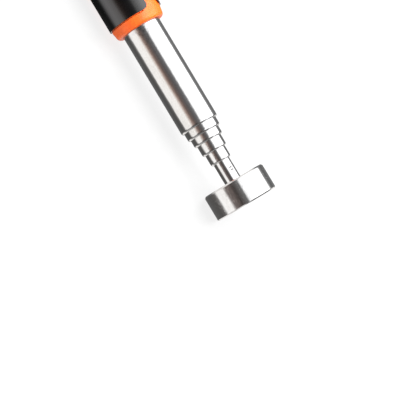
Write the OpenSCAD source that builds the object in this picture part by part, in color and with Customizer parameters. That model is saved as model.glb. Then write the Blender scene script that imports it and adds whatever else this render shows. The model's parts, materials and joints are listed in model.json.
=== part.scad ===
// Telescoping magnetic pick-up tool, fully closed and lying on its side.
// It runs along +X, from the hanging hole in its tail to the flat face of its magnet.
// The origin is on the table, below the middle of the closed tool.

/* [Magnet head] */
// Diameter of the magnet cup
head_d = 17; // [16:0.5:20]
// Length of the magnet cup along the tool
head_len = 7; // [6:0.1:9]
// Wall of the cup around the magnet
cup_wall = 1; // [0.8:0.1:1.4]
// Thickness of the back of the cup
cup_back = 1.6; // [1.4:0.1:2]
// Width of the resin ring between the magnet and the cup
resin_w = 0.3; // [0.2:0.05:0.5]
// Bevel on the rear edge of the cup
cup_bevel = 0.4; // [0.2:0.05:0.6]
// Bevel on the edge around the magnet
rim_bevel = 0.3; // [0.2:0.05:0.5]

/* [Tubes] */
// Outer diameter of the thinnest tube
tip_d = 4.5; // [4.2:0.1:4.8]
// Growth in diameter from each tube to the one around it
tube_step = 1.18; // [1.16:0.01:1.24]
// Wall of every tube
tube_wall = 0.3; // [0.28:0.01:0.32]
// Length of the widest tube that shows in front of the handle
main_show = 29; // [20:1:40]
// How far section 2 stands out of the main tube when closed
show_2 = 2.3; // [1.8:0.1:4]
// How far section 3 stands out of section 2 when closed
show_3 = 2.2; // [1.8:0.1:4]
// How far section 4 stands out of section 3 when closed
show_4 = 3; // [1.8:0.1:4]
// How far section 5 stands out of section 4 when closed
show_5 = 3.15; // [1.8:0.05:4]
// How far section 6 stands out of section 5 when closed
show_6 = 5.7; // [4.5:0.1:8]
// Length of the rounded edge at the mouth of each tube
lip_len = 0.65; // [0.5:0.05:0.8]
// Length of the brass shims that make each section slide stiffly
shim_len = 9; // [6:0.5:12]

/* [Handle] */
// Length of the handle, from its tail to the front of the collar
handle_len = 118; // [100:1:130]
// Diameter of the rubber panels at the front of the handle
grip_d = 14.9; // [14.6:0.1:16]
// Thickness of the rubber panels
panel_t = 1.5; // [1.2:0.1:1.6]
// Width of the bare stripe between two panels
stripe_w = 4.6; // [3:0.1:6]
// Depth of the bare stripe below the rubber
stripe_depth = 0.4; // [0.2:0.05:0.6]
// Length of the collar in front of the panels
collar_len = 2.8; // [2.4:0.1:5]
// Diameter of the front of the collar
collar_front_d = 11.4; // [11.2:0.1:12.5]
// Length of the end cap
cap_len = 14; // [12:0.5:18]
// Diameter of the hanging hole
hang_d = 5; // [4:0.5:6]

/* [Hidden] */

orange = "#f47b28";
black = "#1b1a1d";
chrome = "#c8cbd0";
brass = "#b8934a";
steel = "#8c9096";

// Facets that OpenSCAD itself draws round a circle
round_fn = 72;
// Overlap of a cutting shape past the surface it cuts
past = 1;

// Tubes: 1 is the main tube and 6 the thinnest section
tubes = 6;
// Clearance between a tube's mouth and the section inside it
mouth_gap = 0.05;
// Clearance between a shim and the tubes inside and around it
shim_gap = 0.03;
// Clearance between the stop ring on a section and the tube that it slides in
stop_gap = 0.06;
// Length of the stop ring behind the shims
stop_len = 0.8;
// Length and height of the bead in front of the shims
bead_len = 0.6;
bead_h = 0.15;
// Thickness of the turned-in floor of a section, and how far it reaches in
floor_len = 0.9;
floor_in = 0.5;
// Axial clearance between a section's floor and the next section
nest_gap = 0.1;
// Depth at a mouth over which the wall turns in
turn_len = 1;
// Points along the rounded edge of a mouth or a collar
arc_steps = 5;

head_r = head_d / 2;
stripe_r = sqrt(pow(head_r, 2) + pow(stripe_w / 2, 2));
grip_r = grip_d / 2;
collar_r = grip_r - stripe_depth;

// Places along the tool, measured from its tail
shows = [0, 0, show_2, show_3, show_4, show_5, show_6];
function mouth_at(k) = k <= 1 ? handle_len + main_show : mouth_at(k - 1) + shows[k];
head_at = mouth_at(tubes);
tool_len = head_at + head_len;
// Length of the end cap's spigot, and its clearance in the core's bore
spigot_len = 6;
spigot_gap = 0.02;
plug_at = cap_len + spigot_len + 1;
plug_len = 4;
function base_at(k) = k == 1 ? plug_at : plug_at + plug_len + nest_gap + (k - 2) * (floor_len + nest_gap);
function shim_at(k) = base_at(k) + stop_len;

function tube_r(k) = (tip_d + (tubes - k) * tube_step) / 2;
function bore_r(k) = tube_r(k) - tube_wall;

// The handle swells in the palm, so that the closed tool lies level on its stripe edges and its head
panels_from = cap_len + 3;
panels_to = handle_len - collar_len;
swell_to = panels_to - 16;
swell_steps = 18;
function swell_at(s) = s >= swell_to ? 0 : pow(sin(180 * (s - panels_from) / (swell_to - panels_from)), 2);
function grip_r_at(s) = grip_r + (stripe_r - grip_r) * swell_at(s);
panel_marks = concat(
    [for (i = [0 : swell_steps]) panels_from + (swell_to - panels_from) * i / swell_steps],
    [panels_to]
);

// Round on the front corner of the collar, and how much the collar narrows before it
collar_round = 1.15;
collar_taper = 0.25;

// Spigot of the end cap inside the handle core
spigot_r = tube_r(1) - spigot_gap;

// Hanging tab on the end cap
tab_t = 8;
tab_len = 11;
hang_at = 5.8;

// Stud that joins the thinnest section to the cup
stud_in = 9;
neck_r = 1.5;
stud_head_r = 2.6;
stud_head_len = 1;
// Stake marks that hold the stud in the thinnest section
stake_r = 0.6;
stake_depth = 0.18;
stake_back = 2.9;
stake_turn = 20;

// Puts a shape drawn along its own +Z, from the tail, onto the tool's axis
module on_axis() {
    translate([-tool_len / 2, 0, head_r]) rotate([0, 90, 0]) children();
}

// A turned shape: each point is a radius and a place along the tool
module turned(points) {
    rotate_extrude($fn = round_fn) polygon(points);
}

module ring(r_in, r_out, from, length) {
    turned([[r_in, from], [r_out, from], [r_out, from + length], [r_in, from + length]]);
}

// Points of a quarter round that falls from radius r_a to radius r_b over length, starting at s
function quarter(r_a, r_b, s, length) = [
    for (i = [0 : arc_steps])
        [r_b + (r_a - r_b) * cos(90 * i / arc_steps), s + length * sin(90 * i / arc_steps)]
];

// Inside of a tube whose mouth turns in over the next section
function mouth_inside(k) = let (mouth = mouth_at(k), r = tube_r(k + 1) + mouth_gap) [
    [r, mouth - turn_len / 2], [bore_r(k), mouth - turn_len]
];

// Outside of a tube's mouth
function mouth_outside(k) =
    quarter(tube_r(k), tube_r(k + 1) + mouth_gap, mouth_at(k) - lip_len, lip_len);

// Outside of a section's base: stop ring, seat of the shims, bead
function base_outside(k) = let (
    base = base_at(k),
    shim_end = shim_at(k) + shim_len + nest_gap,
    r = tube_r(k),
    stop_r = bore_r(k - 1) - stop_gap
) [
    [stop_r, base], [stop_r, shim_at(k)], [r, shim_at(k)],
    [r, shim_end], [r + bead_h, shim_end], [r + bead_h, shim_end + bead_len], [r, shim_end + bead_len]
];

// Inside of a section's base, where the floor turns in
function base_inside(k) = let (base = base_at(k), r = bore_r(k) - floor_in) [
    [bore_r(k), base + floor_len], [r, base + floor_len], [r, base]
];

module end_cap() {
    color(orange) on_axis() difference() {
        turned(concat(
            [[0, 0]],
            [for (i = [1 : arc_steps]) [
                collar_r * sin(90 * i / arc_steps),
                collar_r * 0.6 * (1 - cos(90 * i / arc_steps))
            ]],
            [
                [collar_r, cap_len], [spigot_r, cap_len],
                [spigot_r, cap_len + spigot_len], [0, cap_len + spigot_len]
            ]
        ));
        for (side = [-1, 1])
            translate([-head_r, side * (tab_t / 2 + head_r) - head_r, -past])
                cube([head_d, head_d, tab_len + past]);
        translate([0, head_r, hang_at]) rotate([90, 0, 0]) cylinder(d = hang_d, h = head_d, $fn = round_fn);
    }
}

// The two boxes that hold the bare stripes, above and below the axis
module stripe_space() {
    translate([-head_d, -stripe_w / 2, panels_from - past])
        cube([2 * head_d, stripe_w, panels_to - panels_from + 2 * past]);
}

// A turned body under or over the rubber, offset from the grip's surface by depth
module grip_body(depth, r_in) {
    turned(concat(
        [[r_in, panels_from]],
        [for (s = panel_marks) [grip_r_at(s) - depth, s]],
        [[r_in, panels_to]]
    ));
}

module handle_core() {
    color(orange) on_axis() {
        ring(tube_r(1), collar_r, cap_len, panels_from - cap_len);
        grip_body(panel_t, tube_r(1));
        intersection() {
            grip_body(stripe_depth, tube_r(1));
            stripe_space();
        }
        turned(concat(
            [[tube_r(1), panels_to], [collar_r, panels_to]],
            quarter(collar_r - collar_taper, collar_front_d / 2, handle_len - collar_round, collar_round),
            [[tube_r(1), handle_len]]
        ));
    }
}

module grip_panel(side) {
    color(black) on_axis() difference() {
        grip_body(0, grip_r - panel_t - past);
        grip_body(panel_t, 1);
        stripe_space();
        translate([-head_d, side > 0 ? -2 * head_d : 0, 0]) cube([2 * head_d, 2 * head_d, tool_len]);
    }
}

module base_plug() {
    color(steel) on_axis() ring(1.5, bore_r(1), plug_at, plug_len);
}

module main_tube() {
    color(chrome) on_axis() turned(concat(
        [[bore_r(1), plug_at], [tube_r(1), plug_at]],
        mouth_outside(1),
        mouth_inside(1)
    ));
}

// Sections 2 to 5: a tube with a mouth of its own
module section(k) {
    color(chrome) on_axis() turned(concat(
        base_outside(k),
        mouth_outside(k),
        mouth_inside(k),
        base_inside(k)
    ));
}

// Section 6 ends at the magnet cup and is staked to the stud
module last_section() {
    color(chrome) on_axis() difference() {
        turned(concat(
            base_outside(tubes),
            [[tube_r(tubes), head_at], [bore_r(tubes), head_at]],
            base_inside(tubes)
        ));
        for (side = [0, 180])
            rotate([0, 0, side + stake_turn]) translate([-tube_r(tubes) - past, 0, head_at - stake_back])
                rotate([0, 90, 0]) cylinder(r = stake_r, h = past + stake_depth, $fn = round_fn);
    }
}

// Half of the brass sleeve that rides at the base of section k
module shim(k, side) {
    split = 0.4;
    color(brass) on_axis() difference() {
        ring(tube_r(k) + shim_gap, bore_r(k - 1) - shim_gap, shim_at(k) + nest_gap / 2, shim_len);
        translate([side > 0 ? -split / 2 : -head_d + split / 2, -head_d, 0]) cube([head_d, 2 * head_d, tool_len]);
    }
}

module head_stud() {
    color(steel) on_axis() turned([
        [0, head_at - stud_in], [bore_r(tubes), head_at - stud_in], [bore_r(tubes), head_at],
        [neck_r, head_at], [neck_r, head_at + cup_back - stud_head_len],
        [stud_head_r, head_at + cup_back], [0, head_at + cup_back]
    ]);
}

module magnet_cup() {
    front = head_at + head_len;
    inner_r = head_r - cup_wall;
    color(chrome) on_axis() turned([
        [neck_r, head_at], [head_r - cup_bevel, head_at], [head_r, head_at + cup_bevel],
        [head_r, front - rim_bevel], [head_r - rim_bevel, front], [inner_r, front],
        [inner_r, head_at + cup_back], [stud_head_r, head_at + cup_back],
        [neck_r, head_at + cup_back - stud_head_len]
    ]);
}

module resin_ring() {
    outer_r = head_r - cup_wall;
    color(black) on_axis() ring(outer_r - resin_w, outer_r, head_at + cup_back, head_len - cup_back - 0.2);
}

module magnet() {
    color(steel) on_axis()
        translate([0, 0, head_at + cup_back])
            cylinder(r = head_r - cup_wall - resin_w, h = head_len - cup_back, $fn = round_fn);
}

end_cap();
handle_core();
grip_panel(1);  // grip_left
grip_panel(-1);  // grip_right
base_plug();
main_tube();
section(2);  // section_2
section(3);  // section_3
section(4);  // section_4
section(5);  // section_5
last_section();  // section_6
shim(2, 1);  // shim_2_upper
shim(2, -1);  // shim_2_lower
shim(3, 1);  // shim_3_upper
shim(3, -1);  // shim_3_lower
shim(4, 1);  // shim_4_upper
shim(4, -1);  // shim_4_lower
shim(5, 1);  // shim_5_upper
shim(5, -1);  // shim_5_lower
shim(6, 1);  // shim_6_upper
shim(6, -1);  // shim_6_lower
head_stud();
magnet_cup();
resin_ring();
magnet();
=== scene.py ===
import json
import math

import bmesh
import bpy
from mathutils import Matrix, Vector


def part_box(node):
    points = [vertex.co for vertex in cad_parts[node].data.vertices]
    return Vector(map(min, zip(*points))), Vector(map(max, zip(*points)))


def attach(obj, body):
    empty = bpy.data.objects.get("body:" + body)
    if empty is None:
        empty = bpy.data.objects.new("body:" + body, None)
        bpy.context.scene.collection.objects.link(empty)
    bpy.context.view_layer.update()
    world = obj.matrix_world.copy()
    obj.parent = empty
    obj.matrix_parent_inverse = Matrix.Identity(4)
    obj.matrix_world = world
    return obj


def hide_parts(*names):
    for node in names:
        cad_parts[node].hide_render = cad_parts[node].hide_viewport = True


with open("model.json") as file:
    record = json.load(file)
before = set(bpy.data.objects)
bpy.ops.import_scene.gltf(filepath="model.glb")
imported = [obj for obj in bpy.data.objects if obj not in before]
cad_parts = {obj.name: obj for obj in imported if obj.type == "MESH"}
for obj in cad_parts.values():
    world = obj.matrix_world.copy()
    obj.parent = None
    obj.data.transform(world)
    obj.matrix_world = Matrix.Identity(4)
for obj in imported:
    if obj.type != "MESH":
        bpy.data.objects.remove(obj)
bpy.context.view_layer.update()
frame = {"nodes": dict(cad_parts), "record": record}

# A telescoping magnetic pick-up tool, closed. It lies along X with the magnet at the +X end, and its
# axis is at y = 0 and at the height AXIS_Z. An outline is a list of (x, radius) points in metres.

MM = 0.001

# ---------------------------------------------------------------- places, all from the frame

def ends(node):
    """Where a CAD node begins and ends along the tool."""
    return tuple(corner.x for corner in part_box(node))


def half_height(node):
    """Radius of a round CAD node."""
    low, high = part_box(node)
    return (high.z - low.z) / 2


AXIS_Z = sum(corner.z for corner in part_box("magnet_cup")) / 2
HEAD_BACK, HEAD_FRONT = ends("magnet_cup")
CUP_R = half_height("magnet_cup")
MAGNET_BACK, MAGNET_FRONT = ends("magnet")
MAGNET_R = half_height("magnet")
RESIN_R = half_height("resin_ring")
RESIN_FRONT = ends("resin_ring")[1]
TAIL, SPIGOT_END = ends("end_cap")
CORE_BACK, HANDLE_FRONT = ends("handle_core")
PANEL_BACK, PANEL_FRONT = ends("grip_left")

# Punch marks on two opposite sides that stake the thinnest section to the head's stud. That tube has
# a ring of points at every STAKE_STEP, out to STAKE_REACH from their middle.
STAKE_X = HEAD_BACK - 2.9 * MM
STAKE_R = 0.6 * MM
STAKE_DEPTH = 0.18 * MM
STAKE_STEEP = 1.8
STAKE_REACH = 1.0 * MM
STAKE_STEP = 0.06 * MM
STAKE_ANGLE = math.radians(110)


def radius_near(node, x, reach=0.2 * MM):
    """Largest distance from the tool's axis of a CAD node's vertices close to the plane at x."""
    vertices = frame["nodes"][node].data.vertices
    return max(math.hypot(v.co.y, v.co.z - AXIS_Z) for v in vertices if abs(v.co.x - x) < reach)


# ---------------------------------------------------------------- mesh tools

# Segments round the axis: usually, for the head, and for the tube with the punch marks
ROUND = 128
HEAD_ROUND = 192
STAKED_ROUND = 256

# Edges turn sharp at this angle, and points closer than this are joined
FLAT_ANGLE = math.radians(32)
WELD = 1e-7
THIN = 1e-8


def make_object(name, bm, smooth=True):
    """Turns a bmesh into an object with clean normals, smooth apart from its real edges."""
    bmesh.ops.remove_doubles(bm, verts=bm.verts, dist=WELD)
    bmesh.ops.dissolve_degenerate(bm, edges=bm.edges, dist=THIN)
    bmesh.ops.recalc_face_normals(bm, faces=bm.faces)
    mesh = bpy.data.meshes.new(name)
    bm.to_mesh(mesh)
    bm.free()
    for polygon in mesh.polygons:
        polygon.use_smooth = smooth
    mesh.set_sharp_from_angle(angle=FLAT_ANGLE)
    obj = bpy.data.objects.new(name, mesh)
    bpy.context.scene.collection.objects.link(obj)
    return obj


def polar(x, radius, angle):
    """A point at that radius from the axis; angle 0 is +Y and a quarter turn is +Z."""
    return Vector((x, radius * math.cos(angle), AXIS_Z + radius * math.sin(angle)))


def arc(x, radius, middle, half, steps):
    """Points at one radius from the axis, from the angle middle - half to middle + half."""
    return [polar(x, radius, middle + half * (2 * i / steps - 1)) for i in range(steps + 1)]


def band(rings, closed):
    """A bmesh of rings of points, each joined to the next, and its loops; closed joins last to first."""
    bm = bmesh.new()
    loops = [[bm.verts.new(point) for point in ring] for ring in rings]
    count = len(rings[0])
    pairs = list(zip(loops, loops[1:]))
    if closed:
        pairs.append((loops[-1], loops[0]))
    for one, two in pairs:
        for i in range(count):
            j = (i + 1) % count
            bm.faces.new((one[i], one[j], two[j], two[i]))
    return bm, loops


def skin(name, rings):
    """An object whose surface runs through the rings and back to the first one."""
    return make_object(name, band(rings, closed=True)[0])


def held(outline, reach=0.03 * MM):
    """Adds a point close to both ends of each long side, so that smooth shading leaves the side straight."""
    points = []
    for one, two in zip(outline, outline[1:] + outline[:1]):
        points.append(one)
        length = math.dist(one, two)
        if length > 5 * reach:
            for share in (reach / length, 1 - reach / length):
                points.append((one[0] + (two[0] - one[0]) * share, one[1] + (two[1] - one[1]) * share))
    return points


def lathe(name, outline, segments=ROUND, dent=None):
    """Turns a closed outline of (x, radius) points about the axis. dent(x, angle) sinks the surface."""
    rings = []
    for x, radius in held(outline):
        ring = []
        for i in range(segments):
            angle = math.tau * i / segments
            depth = dent(x, angle) if dent else 0
            ring.append(polar(x, max(radius - depth, 0), angle))
        rings.append(ring)
    return skin(name, rings)


def filleted(corners, steps=4):
    """A closed outline from (x, radius, fillet) corners, with each fillet as an arc."""
    points = []
    count = len(corners)
    for i, (x, r, fillet) in enumerate(corners):
        here = Vector((x, r))
        if fillet <= 0:
            points.append((x, r))
            continue
        before = (Vector(corners[i - 1][:2]) - here).normalized()
        after = (Vector(corners[(i + 1) % count][:2]) - here).normalized()
        half = before.angle(after) / 2
        reach = fillet / math.tan(half)
        centre = here + (before + after).normalized() * fillet / math.sin(half)
        start = here + before * reach - centre
        turn = start.angle_signed(here + after * reach - centre)
        for s in range(steps + 1):
            spoke = start.copy()
            spoke.rotate(Matrix.Rotation(-turn * s / steps, 2))
            points.append(tuple(centre + spoke))
    return points


def quarter(x, r_from, r_to, length, steps=12):
    """Quarter round that falls from r_from to r_to over length, forwards from x."""
    points = []
    for i in range(steps + 1):
        turn = math.pi / 2 * i / steps
        points.append((x + length * math.sin(turn), r_to + (r_from - r_to) * math.cos(turn)))
    return points


def evenly(start, end, step):
    """Stations from start to end, both included, about step apart."""
    count = max(1, round((end - start) / step))
    return [start + (end - start) * i / count for i in range(count + 1)]


def bake_modifiers(obj):
    """Replaces an object's mesh by the one its modifiers make."""
    bpy.context.view_layer.update()
    graph = bpy.context.evaluated_depsgraph_get()
    mesh = bpy.data.meshes.new_from_object(obj.evaluated_get(graph))
    obj.modifiers.clear()
    obj.data = mesh
    for polygon in mesh.polygons:
        polygon.use_smooth = True
    mesh.set_sharp_from_angle(angle=FLAT_ANGLE)


def round_edges(obj, width, segments, angle):
    """Rounds the edges of an object that are sharper than angle, in degrees."""
    bevel = obj.modifiers.new("edge_round", "BEVEL")
    bevel.width = width
    bevel.segments = segments
    bevel.limit_method = "ANGLE"
    bevel.angle_limit = math.radians(angle)
    bevel.use_clamp_overlap = True
    bake_modifiers(obj)


# ---------------------------------------------------------------- materials

class Graph:
    """Short calls for building a node tree."""

    def __init__(self, tree):
        self.tree = tree

    def put(self, value, socket):
        """Connects an output to a socket, or sets the socket to a plain value."""
        if isinstance(value, bpy.types.NodeSocket):
            self.tree.links.new(value, socket)
        else:
            socket.default_value = value

    def math(self, operation, *values):
        """One step of arithmetic on outputs or plain numbers."""
        node = self.tree.nodes.new("ShaderNodeMath")
        node.operation = operation
        for socket, value in zip(node.inputs, values):
            self.put(value, socket)
        return node.outputs["Value"]

    def span(self, value, low, high, to_low=0.0, to_high=1.0):
        """Maps low..high of a value to to_low..to_high, held at the ends."""
        node = self.tree.nodes.new("ShaderNodeMapRange")
        numbers = (value, low, high, to_low, to_high)
        for socket, number in zip(("Value", "From Min", "From Max", "To Min", "To Max"), numbers):
            self.put(number, node.inputs[socket])
        return node.outputs["Result"]

    def ramp(self, value, stops):
        """Colour ramp with (position, colour) stops."""
        node = self.tree.nodes.new("ShaderNodeValToRGB")
        elements = node.color_ramp.elements
        elements.remove(elements[-1])
        for i, (position, colour) in enumerate(stops):
            element = elements[0] if i == 0 else elements.new(position)
            element.position = position
            element.color = (*colour, 1)
        self.put(value, node.inputs["Fac"])
        return node.outputs["Color"]

    def mix(self, share, one, two):
        """One where share is 0 and two where it is 1, for colours."""
        node = self.tree.nodes.new("ShaderNodeMix")
        node.data_type = "RGBA"
        for socket, value in zip(("Factor_Float", "A_Color", "B_Color"), (share, one, two)):
            self.put(value, next(i for i in node.inputs if i.identifier == socket))
        return next(o for o in node.outputs if o.identifier == "Result_Color")


class Finish(Graph):
    """One material's nodes."""

    def __init__(self, name):
        self.material = bpy.data.materials.new(name)
        self.material.use_nodes = True
        super().__init__(self.material.node_tree)
        self.shader = self.tree.nodes["Principled BSDF"]
        self.place = self.tree.nodes.new("ShaderNodeTexCoord").outputs["Object"]

    def noise(self, scale, detail=3.0, rough=0.5):
        """Noise with so many waves per metre on each axis."""
        mapping = self.tree.nodes.new("ShaderNodeMapping")
        self.put(self.place, mapping.inputs["Vector"])
        self.put(scale, mapping.inputs["Scale"])
        node = self.tree.nodes.new("ShaderNodeTexNoise")
        self.put(mapping.outputs["Vector"], node.inputs["Vector"])
        self.put(1.0, node.inputs["Scale"])
        self.put(detail, node.inputs["Detail"])
        self.put(rough, node.inputs["Roughness"])
        return node.outputs["Fac"]

    def bump(self, height, distance, strength=1.0):
        """Fine relief from a height of 0 to 1, with the distance in metres."""
        node = self.tree.nodes.new("ShaderNodeBump")
        self.put(distance, node.inputs["Distance"])
        self.put(strength, node.inputs["Strength"])
        self.put(height, node.inputs["Height"])
        self.put(node.outputs["Normal"], self.shader.inputs["Normal"])

    def set(self, **values):
        """Sets or connects the shader's own sockets, by name."""
        for name, value in values.items():
            self.put(value, self.shader.inputs[name.replace("_", " ")])


def stake_wall_shade(f):
    """1 on the end walls of the stake marks, where the dents get painted shade, and 0 elsewhere."""
    rim = 0.85 * STAKE_R
    wall_from = 0.30 * STAKE_R
    wall_to = 0.45 * STAKE_R
    split = f.tree.nodes.new("ShaderNodeSeparateXYZ")
    f.put(f.place, split.inputs["Vector"])
    x, y, z = split.outputs
    side = f.math("MULTIPLY", y, math.sin(STAKE_ANGLE))
    lift = f.math("MULTIPLY", f.math("SUBTRACT", z, AXIS_Z), math.cos(STAKE_ANGLE))
    along = f.math("ABSOLUTE", f.math("SUBTRACT", x, STAKE_X))
    across = f.math("SUBTRACT", lift, side)
    distance = f.math("SQRT", f.math("ADD", f.math("POWER", along, 2.0), f.math("POWER", across, 2.0)))
    inside = f.span(distance, STAKE_R, rim)
    return f.math("MULTIPLY", inside, f.span(along, wall_from, wall_to))


def chrome_material(name, tube):
    """Bright plating with polishing lines, along a tube or round the cup, faint smears and fine scuffs, and
    on a tube painted shade on the end walls of the stake marks.
    """
    f = Finish(name)
    polish = f.noise((30, 9000, 9000) if tube else (9000, 60, 60), detail=2.0)
    ripple = f.noise((900, 1700, 1700), detail=2.0)
    smear = f.noise((90, 260, 260), detail=4.0, rough=0.6)
    speck = f.noise((2600, 2600, 2600), detail=1.0)
    scuff = f.noise((900, 3000, 3000), detail=3.0, rough=0.65)
    tone = f.math("ADD", f.math("MULTIPLY", smear, 0.6), f.math("MULTIPLY", speck, 0.4))
    plating = f.ramp(tone, [
        (0.3, (0.58, 0.575, 0.57)),
        (0.55, (0.68, 0.68, 0.685)),
        (0.8, (0.72, 0.72, 0.73)),
    ])
    # On a tube the end walls of the stake marks get painted shade: a dark grey colour and a higher
    # roughness.
    painted_dent_shade = stake_wall_shade(f) if tube else 0.0
    fine = f.math("ADD", f.span(polish, 0.35, 0.7, 0.035, 0.075), f.span(smear, 0.5, 0.75, 0.0, 0.05))
    worn = f.math("ADD", fine, f.span(scuff, 0.52, 0.66, 0.0, 0.06 if tube else 0.20))
    f.set(
        Metallic=1.0,
        Roughness=f.math("MAXIMUM", worn, f.math("MULTIPLY", painted_dent_shade, 0.45)),
        Base_Color=f.mix(painted_dent_shade, plating, (0.16, 0.155, 0.15, 1.0)),
    )
    waves = f.math("MULTIPLY", ripple, 10.0 if tube else 8.0)
    f.bump(f.math("ADD", waves, f.math("MULTIPLY", polish, 0.6 if tube else 1.2)), 0.001 * MM)
    return f.material


def nickel_material():
    """The magnet's plating: warmer and duller than chrome, with light scratches."""
    f = Finish("magnet_nickel")
    ring_marks = f.noise((40, 1400, 1400), detail=5.0, rough=0.7)
    scratch = f.noise((300, 300, 5200), detail=2.0)
    f.set(
        Metallic=1.0,
        Roughness=f.span(ring_marks, 0.3, 0.7, 0.14, 0.30),
        Base_Color=f.ramp(scratch, [(0.35, (0.50, 0.47, 0.43)), (0.65, (0.60, 0.57, 0.53))]),
    )
    f.bump(scratch, 0.002 * MM)
    return f.material


def steel_material():
    """Turned steel with tool marks round the axis."""
    f = Finish("turned_steel")
    marks = f.noise((6000, 200, 200), detail=3.0)
    f.set(
        Metallic=1.0,
        Roughness=f.span(marks, 0.3, 0.7, 0.18, 0.36),
        Base_Color=f.ramp(marks, [(0.3, (0.40, 0.41, 0.43)), (0.7, (0.54, 0.55, 0.57))]),
    )
    f.bump(marks, 0.004 * MM)
    return f.material


def brass_material():
    """Rolled brass strip with a few darker stains."""
    f = Finish("shim_brass")
    rolled = f.noise((3000, 300, 3000), detail=2.0)
    stain = f.noise((240, 240, 240), detail=4.0)
    tone = f.ramp(stain, [
        (0.35, (0.42, 0.28, 0.10)),
        (0.6, (0.66, 0.46, 0.18)),
        (0.8, (0.75, 0.56, 0.26)),
    ])
    f.set(Metallic=1.0, Roughness=f.span(rolled, 0.3, 0.7, 0.22, 0.38), Base_Color=tone)
    f.bump(rolled, 0.002 * MM)
    return f.material


def rubber_material():
    """Moulded thermoplastic rubber: black, with a fine spark-eroded grain, a satin sheen and some dust."""
    f = Finish("grip_rubber")
    grain = f.noise((5200, 5200, 5200), detail=2.0, rough=0.6)
    cloud = f.noise((180, 260, 260), detail=4.0)
    dust = f.span(f.noise((1900, 1900, 1900), detail=3.0, rough=0.7), 0.70, 0.78)
    black = f.ramp(cloud, [(0.3, (0.0010, 0.0010, 0.0011)), (0.7, (0.0022, 0.0021, 0.0023))])
    f.set(
        Specular_IOR_Level=1.0,
        Roughness=f.span(cloud, 0.3, 0.7, 0.10, 0.15),
        Base_Color=f.mix(dust, black, (0.05, 0.05, 0.05, 1.0)),
    )
    f.bump(grain, 0.010 * MM, 0.35)
    return f.material


def orange_material():
    """Moulded plastic with faint flow marks and a fine eroded grain."""
    f = Finish("orange_plastic")
    flow = f.noise((160, 520, 520), detail=4.0, rough=0.6)
    peel = f.noise((2600, 2600, 2600), detail=3.0, rough=0.6)
    tone = f.math("ADD", f.math("MULTIPLY", flow, 0.5), f.math("MULTIPLY", peel, 0.5))
    f.set(
        Specular_IOR_Level=0.6,
        Roughness=f.span(flow, 0.3, 0.7, 0.36, 0.48),
        Base_Color=f.ramp(tone, [(0.38, (0.84, 0.096, 0.003)), (0.62, (0.97, 0.150, 0.008))]),
    )
    f.bump(peel, 0.016 * MM, 0.8)
    return f.material


def resin_material():
    """Dark cast resin with small bubbles."""
    f = Finish("potting_resin")
    bubbles = f.noise((3200, 3200, 3200), detail=2.0, rough=0.7)
    f.set(
        Roughness=f.span(bubbles, 0.3, 0.7, 0.45, 0.62),
        Base_Color=f.ramp(bubbles, [(0.3, (0.012, 0.012, 0.012)), (0.7, (0.03, 0.03, 0.03))]),
    )
    f.bump(bubbles, 0.02 * MM)
    return f.material


MATERIALS = {
    "tube_chrome": chrome_material("tube_chrome", tube=True),
    "cup_chrome": chrome_material("cup_chrome", tube=False),
    "magnet_nickel": nickel_material(),
    "turned_steel": steel_material(),
    "shim_brass": brass_material(),
    "grip_rubber": rubber_material(),
    "orange_plastic": orange_material(),
    "potting_resin": resin_material(),
}


def dress(obj, body, slot, node):
    """Gives a new piece its finish and the body that it moves with, and hides the CAD node that it stands
    for.
    """
    obj.data.materials.clear()
    obj.data.materials.append(MATERIALS[slot])
    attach(obj, body)
    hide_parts(node)


# ---------------------------------------------------------------- handle

STRIPE_W = 4.6 * MM
STRIPE_DEPTH = 0.4 * MM
PANEL_T = 1.5 * MM
PANEL_CORNER = 1.25 * MM
PANEL_EDGE = 0.22 * MM
SWELL_FROM_FRONT = 16 * MM
SWELL_CENTRE = (PANEL_BACK + PANEL_FRONT - SWELL_FROM_FRONT) / 2
FRONT_R = radius_near("grip_left", PANEL_FRONT)
SWELL_R = radius_near("grip_left", SWELL_CENTRE, 5 * MM)
BORE_R = radius_near("main_tube", TAIL + 30 * MM, 20 * MM)

# Shallow grooves across the palm of each panel. Reach, shrink and fade are shares of half the panel's
# width: each groove is shorter by the shrink than the next one towards the middle.
GROOVES = 9
GROOVE_PITCH = 5.4 * MM
GROOVE_HALF_W = 1.15 * MM
GROOVE_DEPTH = 0.45 * MM
GROOVE_REACH = 0.72
GROOVE_SHRINK = 0.03
GROOVE_FADE = 0.14
GROOVE_STEEP = 1.3

# How finely the handle is divided
CORNER_STEPS = 8
PANEL_STEP = 0.3 * MM
PANEL_STEPS = 56
CORE_STEP = 1.2 * MM
BED_STEPS = 40
STRIPE_STEPS = 8

# The core's ends: flange behind the rubber, and collar with a thin groove where it meets the rubber
FLANGE_EDGE = 0.25 * MM
COLLAR_ROUND = 1.15 * MM
COLLAR_TAPER = 0.25 * MM
BORE_GAP = 0.01 * MM
BORE_EDGE = 0.15 * MM
NIP_DEPTH = 0.25 * MM
NIP_RISE = 0.12 * MM
NIP_FLOOR = 0.16 * MM
NIP_SLOPE = 0.26 * MM
NIP_END = 0.36 * MM

# The end cap: a flat tab with a flared hanging hole, and a spigot in the core's bore
TAB_HALF = 4 * MM
TAB_LEN = 11 * MM
TAB_ROUND = 1.2 * MM
HANG_AT = 5.8 * MM
HANG_R = 2.5 * MM
HANG_FLARE = 0.6 * MM
FLARE_STEPS = 6
DOME_STEPS = 20
DOME_SHARE = 0.6
CAP_EDGE = 0.35 * MM
CAP_NIP = 0.25 * MM
CAP_NIP_EDGE = 0.07 * MM
SPIGOT_GAP = 0.02 * MM
FLAT_CUTTER_SIZE = (24 * MM, 10 * MM, 30 * MM)
HOLE_CUTTER_PAST = 4 * MM


def grip_radius(x):
    """Outer radius of the rubber at x, with the swell in the palm."""
    swell_front = PANEL_FRONT - SWELL_FROM_FRONT
    if not PANEL_BACK < x < swell_front:
        return FRONT_R
    along = (x - PANEL_BACK) / (swell_front - PANEL_BACK)
    return FRONT_R + (SWELL_R - FRONT_R) * math.sin(math.pi * along) ** 2


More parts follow.
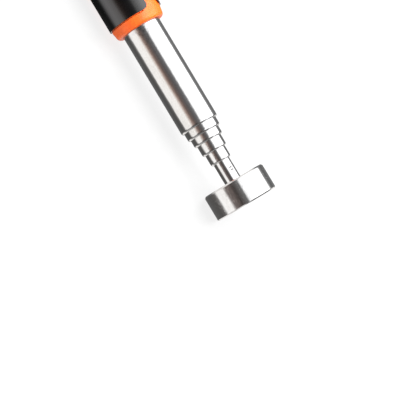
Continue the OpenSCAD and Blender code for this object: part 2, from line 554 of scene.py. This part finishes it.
def stripe_half_width(x):
    """Half the width of the bare stripe at x, wider at a panel's ends, where its corners are round."""
    from_end = min(x - PANEL_BACK, PANEL_FRONT - x)
    cut = 0.0
    if from_end < PANEL_CORNER:
        cut = PANEL_CORNER - math.sqrt(PANEL_CORNER ** 2 - (PANEL_CORNER - max(from_end, 0)) ** 2)
    return STRIPE_W / 2 + cut


def panel_stations(step):
    """Stations along a panel, closer together round its corners."""
    turns = [math.pi / 2 * i / CORNER_STEPS for i in range(CORNER_STEPS)]
    corner = [PANEL_CORNER * (1 - math.cos(turn)) for turn in turns]
    middle = evenly(PANEL_BACK + PANEL_CORNER, PANEL_FRONT - PANEL_CORNER, step)
    return [PANEL_BACK + c for c in corner] + middle + [PANEL_FRONT - c for c in reversed(corner)]


def smooth_step(value):
    """0 up to 0, 1 from 1 on, and a smooth rise between."""
    value = min(max(value, 0.0), 1.0)
    return value * value * (3 - 2 * value)


def groove_depth(x, share):
    """Depth of the grooves at x; share is 0 on a panel's middle line and 1 on its long edges."""
    nearest = round((x - SWELL_CENTRE) / GROOVE_PITCH)
    if abs(nearest) > GROOVES // 2:
        return 0.0
    offset = abs(x - SWELL_CENTRE - nearest * GROOVE_PITCH) / GROOVE_HALF_W
    reach = GROOVE_REACH - GROOVE_SHRINK * abs(nearest)
    across = smooth_step((reach - abs(share)) / GROOVE_FADE)
    return GROOVE_DEPTH * across * smooth_step(GROOVE_STEEP * (1 - offset))


def grip_panel(name, side):
    """One moulded rubber panel: side 1 is +Y and -1 is -Y."""
    middle = 0 if side > 0 else math.pi
    rings = []
    for x in panel_stations(PANEL_STEP):
        half_w = stripe_half_width(x)
        top = grip_radius(x)
        bottom = top - PANEL_T
        ring = []
        for radius, order in ((top, 1), (bottom, -1)):
            half = math.pi / 2 - math.asin(half_w / radius)
            for i in range(PANEL_STEPS + 1):
                share = order * (2 * i / PANEL_STEPS - 1)
                sink = groove_depth(x, share) if order > 0 else 0
                ring.append(polar(x, radius - sink, middle + share * half))
        rings.append(ring)
    bm, loops = band(rings, closed=False)
    for loop in (loops[0], loops[-1]):
        last = len(loop) - 1
        for i in range(PANEL_STEPS):
            bm.faces.new((loop[i], loop[i + 1], loop[last - 1 - i], loop[last - i]))
    panel = make_object(name, bm)
    round_edges(panel, PANEL_EDGE, segments=3, angle=50)
    return panel


def core_ring(x, outer, recess):
    """One ring round the core: the recess radius below the panels and the outer radius in the stripes."""
    half_w = stripe_half_width(min(max(x, PANEL_BACK), PANEL_FRONT))
    points = []
    for middle in (0, math.pi):
        points += arc(x, recess, middle, math.pi / 2 - math.asin(half_w / recess), BED_STEPS)
        points += arc(x, outer, middle + math.pi / 2, math.asin(half_w / outer), STRIPE_STEPS)
    return points


def handle_core():
    """Orange moulding: rear flange, the bed of the panels with its two stripes, and the rounded collar."""
    outer_r = FRONT_R - STRIPE_DEPTH
    collar_front_r = radius_near("handle_core", HANDLE_FRONT)
    bore = BORE_R + BORE_GAP
    flange = [(CORE_BACK, bore), (CORE_BACK, outer_r - FLANGE_EDGE)]
    for turn in (0.5, 1.0):
        x = CORE_BACK + FLANGE_EDGE * (1 - math.cos(turn))
        flange.append((x, outer_r - FLANGE_EDGE * (1 - math.sin(turn))))
    flange += [(CORE_BACK + FLANGE_EDGE, outer_r), (PANEL_BACK, outer_r)]
    rings = [core_ring(x, r, r) for x, r in flange]
    for x in panel_stations(CORE_STEP):
        rings.append(core_ring(x, grip_radius(x) - STRIPE_DEPTH, grip_radius(x) - PANEL_T))
    nip_r = outer_r - NIP_DEPTH
    for ahead, r in ((0, nip_r), (NIP_FLOOR, nip_r), (NIP_SLOPE, nip_r + NIP_RISE)):
        rings.append(core_ring(PANEL_FRONT + ahead, outer_r, r))
    front = [(PANEL_FRONT + NIP_END, outer_r)]
    front += quarter(HANDLE_FRONT - COLLAR_ROUND, outer_r - COLLAR_TAPER, collar_front_r, COLLAR_ROUND)
    front += [(HANDLE_FRONT, bore + BORE_EDGE), (HANDLE_FRONT - BORE_EDGE, bore)]
    rings += [core_ring(x, r, r) for x, r in held(front)[:-2]]
    return skin("core_moulding", rings)


def flat_cutter(side):
    """Rounded block that cuts the tab's flat on one side: 1 is +Y and -1 is -Y."""
    length, width, height = FLAT_CUTTER_SIZE
    bm = bmesh.new()
    bmesh.ops.create_cube(bm, size=1.0)
    for v in bm.verts:
        v.co = Vector((v.co.x * length, v.co.y * width, v.co.z * height))
    cutter = make_object("flat_cutter", bm, smooth=False)
    place = (TAIL + TAB_LEN - length / 2, side * (TAB_HALF + width / 2), AXIS_Z)
    cutter.data.transform(Matrix.Translation(place))
    round_edges(cutter, TAB_ROUND, segments=5, angle=60)
    return cutter


def hole_cutter():
    """Spool across the tab that cuts the hanging hole and flares its ends."""
    spool = []
    for i in range(FLARE_STEPS + 1):
        turn = math.pi / 2 * i / FLARE_STEPS
        r = HANG_R + HANG_FLARE * (1 - math.cos(turn))
        spool.append((TAB_HALF - HANG_FLARE * (1 - math.sin(turn)), r))
    end = TAB_HALF + HOLE_CUTTER_PAST
    spool.append((end, HANG_R + HANG_FLARE))
    both = [(-y, r) for y, r in reversed(spool)] + spool
    cutter = lathe("hole_cutter", [(-end, 0.0)] + both + [(end, 0.0)], segments=64)
    turn_to_y = Matrix.Rotation(math.pi / 2, 4, "Z")
    to_origin = Matrix.Translation((0, 0, -AXIS_Z))
    cutter.data.transform(Matrix.Translation((TAIL + HANG_AT, 0, AXIS_Z)) @ turn_to_y @ to_origin)
    return cutter


def tail_cap():
    """End cap: a domed plug flattened into a tab, with a rounded hanging hole through it."""
    cap_r = FRONT_R - STRIPE_DEPTH
    dome = DOME_SHARE * cap_r
    outline = [(TAIL, 0.0)]
    for i in range(1, DOME_STEPS + 1):
        turn = math.pi / 2 * i / DOME_STEPS
        outline.append((TAIL + dome * (1 - math.cos(turn)), cap_r * math.sin(turn)))
    spigot_r = BORE_R - SPIGOT_GAP
    outline += [(CORE_BACK - CAP_NIP, cap_r), (CORE_BACK - CAP_NIP_EDGE, cap_r - CAP_NIP_EDGE)]
    outline += [(CORE_BACK, cap_r - CAP_NIP), (CORE_BACK, spigot_r)]
    outline += [(SPIGOT_END, spigot_r), (SPIGOT_END, 0.0)]
    cap = lathe("tail_cap", outline)
    cutters = [flat_cutter(-1), flat_cutter(1), hole_cutter()]
    for cutter in cutters:
        cut = cap.modifiers.new("cut", "BOOLEAN")
        cut.object = cutter
        cut.solver = "EXACT"
    bake_modifiers(cap)
    for cutter in cutters:
        bpy.data.objects.remove(cutter)
    round_edges(cap, CAP_EDGE, segments=4, angle=35)
    return cap


dress(handle_core(), "handle", "orange_plastic", "handle_core")
dress(tail_cap(), "handle", "orange_plastic", "end_cap")
dress(grip_panel("left_panel", 1), "handle", "grip_rubber", "grip_left")
dress(grip_panel("right_panel", -1), "handle", "grip_rubber", "grip_right")

# ---------------------------------------------------------------- tubes

TUBE_NODES = ["main_tube", "section_2", "section_3", "section_4", "section_5", "section_6"]
TUBE_BODIES = ["handle", "tube_2", "tube_3", "tube_4", "tube_5", "head"]
THINNEST = len(TUBE_NODES)
WALL = 0.3 * MM
TAIL_EDGE = 0.05 * MM

# Rolled mouth: the outside turns in over the lip and ends in a narrow land beside the next tube
LIP = 0.65 * MM
LAND = 0.12 * MM
LAND_EDGE = 0.03 * MM
LAND_BACK = 0.04 * MM
MOUTH_GAP = 0.05 * MM
TURN_IN = 1.0 * MM

# Base of a sliding section: turned-in floor, stop ring, and a bead in front of the shims
FLOOR_T = 0.9 * MM
FLOOR_IN = 0.5 * MM
STOP_T = 0.8 * MM
STOP_EDGE = 0.06 * MM
STOP_EDGE_LEN = 0.1 * MM
SHIM_END_GAP = 0.05 * MM
BEAD_T = 0.6 * MM
BEAD_H = 0.15 * MM
BEAD_SLOPE = 0.3


def tube_radius(k):
    """Outer radius of tube k, from 1 for the main tube to 6 for the thinnest."""
    node = TUBE_NODES[k - 1]
    front = ends(node)[1]
    return radius_near(node, front if k == THINNEST else front - LIP)


def rolled_mouth(k):
    """Outline of a tube's mouth, from its outside round the rolled edge to its bore."""
    mouth = ends(TUBE_NODES[k - 1])[1]
    outer = tube_radius(k)
    inner = tube_radius(k + 1) + MOUTH_GAP
    outline = quarter(mouth - LIP, outer, inner + LAND, LIP)
    outline += [(mouth - LAND_BACK, inner + LAND_EDGE), (mouth - LAND, inner)]
    outline += [(mouth - TURN_IN / 2, inner), (mouth - TURN_IN, outer - WALL)]
    return outline


def section_base(k):
    """Outlines of a section's base, outside then inside: stop ring, shim seat, bead and turned-in floor."""
    base = ends(TUBE_NODES[k - 1])[0]
    outer = tube_radius(k)
    inner = outer - WALL
    stop_r = radius_near(TUBE_NODES[k - 1], base)
    shim_end = ends(f"shim_{k}_upper")[1] + SHIM_END_GAP
    outside = [(base, stop_r - STOP_EDGE), (base + STOP_EDGE_LEN, stop_r)]
    outside += [(base + STOP_T, stop_r), (base + STOP_T, outer)]
    outside += [(shim_end, outer), (shim_end + BEAD_T * BEAD_SLOPE, outer + BEAD_H)]
    outside += [(shim_end + BEAD_T * (1 - BEAD_SLOPE), outer + BEAD_H), (shim_end + BEAD_T, outer)]
    inside = [(base + FLOOR_T, inner), (base + FLOOR_T, inner - FLOOR_IN), (base, inner - FLOOR_IN)]
    return outside, inside


def stake_mark(x, angle, radius):
    """Depth of the punch marks at a point of the thinnest tube."""
    around = math.remainder(angle - STAKE_ANGLE, math.pi) * radius
    distance = math.hypot(x - STAKE_X, around) / STAKE_R
    return STAKE_DEPTH * smooth_step(STAKE_STEEP * (1 - distance))


def chrome_tube(k):
    """Tube k with its real wall, base and mouth."""
    node = TUBE_NODES[k - 1]
    back, front = ends(node)
    outer = tube_radius(k)
    name = "chrome_" + node
    if k == 1:
        tail = [(back, outer - WALL), (back, outer - TAIL_EDGE), (back + TAIL_EDGE, outer)]
        return lathe(name, tail + rolled_mouth(k))
    outside, inside = section_base(k)
    if k < THINNEST:
        return lathe(name, outside + rolled_mouth(k) + inside)
    staked = [(x, outer) for x in evenly(STAKE_X - STAKE_REACH, STAKE_X + STAKE_REACH, STAKE_STEP)]
    cut_end = [(front, outer), (front, outer - WALL)]

    def dent(x, angle):
        return stake_mark(x, angle, outer) if abs(x - STAKE_X) < STAKE_REACH else 0

    return lathe(name, outside + staked + cut_end + inside, segments=STAKED_ROUND, dent=dent)


for number, (tube_node, tube_body) in enumerate(zip(TUBE_NODES, TUBE_BODIES), start=1):
    dress(chrome_tube(number), tube_body, "tube_chrome", tube_node)

# ---------------------------------------------------------------- magnet head

def cup():
    """Plated steel cup with bevelled edges, a round hole for the stud and a pocket for the magnet."""
    neck_r = 1.5 * MM
    stud_head_r = 2.6 * MM
    stud_head_len = 1.0 * MM
    back_bevel = 0.4 * MM
    rim_bevel = 0.3 * MM
    fillet = 0.08 * MM
    corners = [
        (HEAD_BACK, neck_r, 0),
        (HEAD_BACK, CUP_R - back_bevel, fillet),
        (HEAD_BACK + back_bevel, CUP_R, fillet),
        (HEAD_FRONT - rim_bevel, CUP_R, fillet),
        (HEAD_FRONT, CUP_R - rim_bevel, fillet),
        (HEAD_FRONT, RESIN_R, fillet),
        (MAGNET_BACK, RESIN_R, 0),
        (MAGNET_BACK, stud_head_r, 0),
        (MAGNET_BACK - stud_head_len, neck_r, 0),
    ]
    return lathe("plated_cup", filleted(corners), segments=HEAD_ROUND)


def magnet_disc():
    """The magnet, with a small round on each edge."""
    back_fillet = 0.1 * MM
    front_fillet = 0.15 * MM
    corners = [
        (MAGNET_BACK, 0.0, 0),
        (MAGNET_BACK, MAGNET_R, back_fillet),
        (MAGNET_FRONT, MAGNET_R, front_fillet),
        (MAGNET_FRONT, 0.0, 0),
    ]
    return lathe("magnet_disc", filleted(corners), segments=HEAD_ROUND)


def resin():
    """Resin between magnet and cup, drawn in to a shallow hollow at the front."""
    hollow = 0.08 * MM
    shoulder = hollow * 0.75
    middle = (MAGNET_R + RESIN_R) / 2
    outline = [
        (MAGNET_BACK, MAGNET_R),
        (RESIN_FRONT, MAGNET_R),
        (RESIN_FRONT - shoulder, (MAGNET_R + middle) / 2),
        (RESIN_FRONT - hollow, middle),
        (RESIN_FRONT - shoulder, (RESIN_R + middle) / 2),
        (RESIN_FRONT, RESIN_R),
        (MAGNET_BACK, RESIN_R),
    ]
    return lathe("cast_resin_ring", outline, segments=HEAD_ROUND)


dress(cup(), "head", "cup_chrome", "magnet_cup")
dress(magnet_disc(), "head", "magnet_nickel", "magnet")
dress(resin(), "head", "potting_resin", "resin_ring")

# Pieces that stay as the CAD made them, with better materials
for part in frame["record"]["subparts"]:
    cad_object = frame["nodes"][part["node"]]
    if not cad_object.hide_render:
        cad_object.data.materials.clear()
        cad_object.data.materials.append(MATERIALS[part["material_slot"]])

# ---------------------------------------------------------------- floor, light and camera

FLOOR_HALF = 3.0
FLOOR_GLOW = 0.83


def pale_floor():
    """A wide flat floor under the tool that glows faintly, with a barely visible grain."""
    bm = bmesh.new()
    bmesh.ops.create_grid(bm, x_segments=4, y_segments=4, size=FLOOR_HALF)
    floor = make_object("pale_floor", bm)
    f = Finish("floor_white")
    grain = f.noise((300, 300, 300), detail=2.0)
    pale = f.ramp(grain, [(0.3, (0.07, 0.07, 0.07)), (0.7, (0.08, 0.08, 0.08))])
    f.set(Roughness=0.8, Base_Color=pale, Emission_Color=(1.0, 1.0, 1.0, 1.0), Emission_Strength=FLOOR_GLOW)
    floor.data.materials.append(f.material)
    floor.visible_glossy = False


# What shiny surfaces mirror, as brightness at angles in degrees round the tool's axis: 0 is level in
# front of the tool (-Y), 90 is overhead and 180 is level behind it. The first three lists have the lit
# table from about -50 to -5 and a broad softbox from about 60 to 145. The rest is the dark room and
# the shade under the tool. Which list holds depends on the direction along the tool.
PEAK = 2.4

# Towards the handle, which the main tube mirrors
BY_HANDLE = [
    (-180, (0.25, 0.25, 0.25)),
    (-150, (0.20, 0.20, 0.20)),
    (-76, (0.115, 0.113, 0.11)),
    (-62, (0.15, 0.145, 0.14)),
    (-55, (0.32, 0.31, 0.30)),
    (-48, (1.30, 1.27, 1.22)),
    (-7, (1.36, 1.31, 1.25)),
    (2, (0.92, 0.78, 0.70)),
    (9, (0.47, 0.34, 0.29)),
    (18, (0.22, 0.16, 0.14)),
    (33, (0.145, 0.133, 0.133)),
    (48, (0.21, 0.208, 0.21)),
    (53, (0.36, 0.36, 0.36)),
    (58, (1.5, 1.5, 1.5)),
    (88, (2.4, 2.4, 2.4)),
    (143, (2.4, 2.4, 2.4)),
    (151, (0.34, 0.34, 0.34)),
    (172, (0.20, 0.20, 0.20)),
]
# Square to the tool and towards the head, which the magnet cup mirrors
BY_HEAD = [
    (-180, (0.25, 0.25, 0.25)),
    (-150, (0.18, 0.18, 0.18)),
    (-70, (0.12, 0.115, 0.11)),
    (-54, (0.15, 0.14, 0.135)),
    (-46, (0.32, 0.31, 0.30)),
    (-39, (1.38, 1.36, 1.33)),
    (-11, (1.42, 1.39, 1.35)),
    (-6, (0.62, 0.58, 0.56)),
    (-1, (0.24, 0.20, 0.19)),
    (14, (0.17, 0.14, 0.13)),
    (25, (0.075, 0.062, 0.058)),
    (38, (0.17, 0.16, 0.155)),
    (47, (0.23, 0.226, 0.222)),
    (53, (1.5, 1.5, 1.5)),
    (84, (2.4, 2.4, 2.4)),
    (144, (2.4, 2.4, 2.4)),
    (152, (0.34, 0.34, 0.34)),
    (166, (0.18, 0.18, 0.18)),
]
# A stretch further towards the handle, which the front of the rubber mirrors
BY_GRIP = [
    (-180, (0.12, 0.12, 0.12)),
    (-150, (0.05, 0.05, 0.05)),
    (-110, (0.02, 0.02, 0.02)),
    (-76, (0.03, 0.03, 0.03)),
    (-66, (0.09, 0.09, 0.09)),
    (-60, (0.42, 0.41, 0.41)),
    (-54, (0.85, 0.84, 0.85)),
    (-44, (1.20, 1.18, 1.20)),
    (-34, (1.46, 1.42, 1.46)),
    (-20, (1.25, 1.21, 1.22)),
    (-10, (1.05, 0.99, 1.00)),
    (-3, (0.50, 0.45, 0.44)),
    (5, (0.12, 0.095, 0.09)),
    (14, (0.04, 0.033, 0.03)),
    (30, (0.025, 0.023, 0.022)),
    (46, (0.05, 0.047, 0.047)),
    (56, (0.19, 0.185, 0.19)),
    (64, (0.60, 0.59, 0.60)),
    (80, (1.63, 1.62, 1.64)),
    (92, (2.4, 2.4, 2.4)),
    (143, (2.4, 2.4, 2.4)),
    (151, (0.30, 0.30, 0.30)),
    (172, (0.15, 0.15, 0.15)),
]
# Far past the head: dark, but for a strip of the softbox and the dim table
PAST_HEAD = [
    (-64, (0.13, 0.128, 0.125)),
    (-50, (0.40, 0.39, 0.38)),
    (-22, (0.45, 0.44, 0.43)),
    (-6, (0.20, 0.19, 0.18)),
    (8, (0.13, 0.128, 0.125)),
    (98, (0.13, 0.128, 0.125)),
    (103, (1.50, 1.50, 1.50)),
    (123, (1.70, 1.70, 1.70)),
    (128, (0.16, 0.16, 0.16)),
    (140, (0.13, 0.128, 0.125)),
]
# Even light from the table behind the tool and from beyond its tail
END_BRIGHT = (1.15, 1.12, 1.09)

# Where each of these holds. The mirrored direction has length 1, with x towards the head, y to the
# back and z up, and a fade runs from none to all between two values of x, y or z.

# In x, from BY_HANDLE to BY_HEAD, and into BY_GRIP from either side
HEAD_FADE = (-0.06, -0.03)
GRIP_FADE_IN = (-0.135, -0.15)
GRIP_FADE_OUT = (-0.26, -0.20)

# Past the tail: where that is in x, and on which side in y
PAST_TAIL_FADE = (-0.62, -0.78)
PAST_TAIL_SIDE = (-0.35, -0.15)

# Past the head: the x where that begins, above the horizon and below it, and the length of its fade
PAST_HEAD_ABOVE = 0.42
PAST_HEAD_BELOW = 0.12
PAST_HEAD_FADE = 0.12

# Of both those ends, END_BRIGHT has what is below the horizon (z) and to the back (y), and what is
# towards the tail (x). PAST_HEAD has the rest.
BELOW_FADE = (0.02, -0.08)
BEHIND_FADE = (-0.45, 0.0)
TAILWARD_FADE = (0.0, -0.1)

# Brightness of the even white world that lights everything else
SKY = 0.61


def studio_world():
    """White backdrop, even light from all round, and the surroundings that shiny surfaces mirror."""
    world = bpy.data.worlds.new("studio")
    world.use_nodes = True
    bpy.context.scene.world = world
    g = Graph(world.node_tree)
    split = g.tree.nodes.new("ShaderNodeSeparateXYZ")
    g.put(g.tree.nodes.new("ShaderNodeTexCoord").outputs["Generated"], split.inputs["Vector"])
    x, y, z = split.outputs
    angle = g.span(g.math("ARCTAN2", z, g.math("MULTIPLY", y, -1.0)), -math.pi, math.pi)
    by_grip, by_handle, by_head, past_head = (
        g.ramp(angle, [((degrees + 180) / 360, [c / PEAK for c in colour]) for degrees, colour in bands])
        for bands in (BY_GRIP, BY_HANDLE, BY_HEAD, PAST_HEAD)
    )
    past_collar = g.math("MULTIPLY", g.span(x, *GRIP_FADE_IN), g.span(x, *GRIP_FADE_OUT))
    round_tool = g.mix(past_collar, g.mix(g.span(x, *HEAD_FADE), by_handle, by_head), by_grip)
    below = g.span(z, *BELOW_FADE)
    behind = g.math("MULTIPLY", below, g.span(y, *BEHIND_FADE))
    end_light = g.math("MAXIMUM", behind, g.span(x, *TAILWARD_FADE))
    at_ends = g.mix(end_light, past_head, (*(c / PEAK for c in END_BRIGHT), 1.0))
    starts = g.span(below, 0.0, 1.0, PAST_HEAD_ABOVE, PAST_HEAD_BELOW)
    past_tail = g.math("MULTIPLY", g.span(x, *PAST_TAIL_FADE), g.span(y, *PAST_TAIL_SIDE))
    share = g.math("MAXIMUM", g.span(x, starts, g.math("ADD", starts, PAST_HEAD_FADE)), past_tail)
    mirrored = g.mix(share, round_tool, at_ends)
    rays = g.tree.nodes.new("ShaderNodeLightPath")
    shiny = g.tree.nodes["Background"]
    g.put(mirrored, shiny.inputs["Color"])
    g.put(PEAK, shiny.inputs["Strength"])
    even = g.tree.nodes.new("ShaderNodeBackground")
    g.put((1.0, 1.0, 1.0, 1.0), even.inputs["Color"])
    g.put(g.span(rays.outputs["Is Camera Ray"], 0.0, 1.0, SKY, 1.0), even.inputs["Strength"])
    choose = g.tree.nodes.new("ShaderNodeMixShader")
    g.put(rays.outputs["Is Glossy Ray"], choose.inputs["Fac"])
    g.put(even.outputs["Background"], choose.inputs[1])
    g.put(shiny.outputs["Background"], choose.inputs[2])
    g.put(choose.outputs["Shader"], g.tree.nodes["World Output"].inputs["Surface"])


def softbox():
    """Broad soft light overhead and a little behind."""
    light = bpy.data.lights.new("softbox", "AREA")
    light.shape = "RECTANGLE"
    light.size = 0.7
    light.size_y = 0.9
    light.energy = 14.2
    lamp = bpy.data.objects.new("softbox", light)
    lamp.location = (0.04, 0.2, 0.6)
    lamp.visible_glossy = False
    bpy.context.scene.collection.objects.link(lamp)


CAMERA_UP = math.radians(38)
CAMERA_TILT = math.radians(0.5)
TOOL_LEAN = math.radians(30.98)
CAMERA_FAR = 0.369
LENS = 125.5

# The middle of the view, ahead of the main tube's mouth and lower in the picture than the axis
VIEW_AHEAD = 19.05 * MM
VIEW_BELOW = 9.02 * MM


def camera():
    """Looks down at the front of the tool, turned so that the tool leans from upper left to lower right."""
    back = Vector((
        math.sin(CAMERA_TILT),
        -math.cos(CAMERA_UP) * math.cos(CAMERA_TILT),
        math.sin(CAMERA_UP) * math.cos(CAMERA_TILT),
    ))
    across = Vector((0, math.sin(CAMERA_UP), math.cos(CAMERA_UP)))
    along = across.cross(back).normalized()
    right = math.sin(TOOL_LEAN) * along + math.cos(TOOL_LEAN) * across
    up = back.cross(right)
    main_mouth = ends("main_tube")[1]
    target = Vector((main_mouth + VIEW_AHEAD, 0, AXIS_Z)) - VIEW_BELOW * across
    data = bpy.data.cameras.new("camera")
    data.sensor_width = 36
    data.lens = LENS
    data.clip_start = 0.01
    obj = bpy.data.objects.new("camera", data)
    turn = Matrix((right, up, back)).transposed().to_4x4()
    obj.matrix_world = Matrix.Translation(target + back * CAMERA_FAR) @ turn
    bpy.context.scene.collection.objects.link(obj)
    bpy.context.scene.camera = obj


pale_floor()
studio_world()
softbox()
camera()
bpy.context.scene.view_settings.view_transform = "Standard"
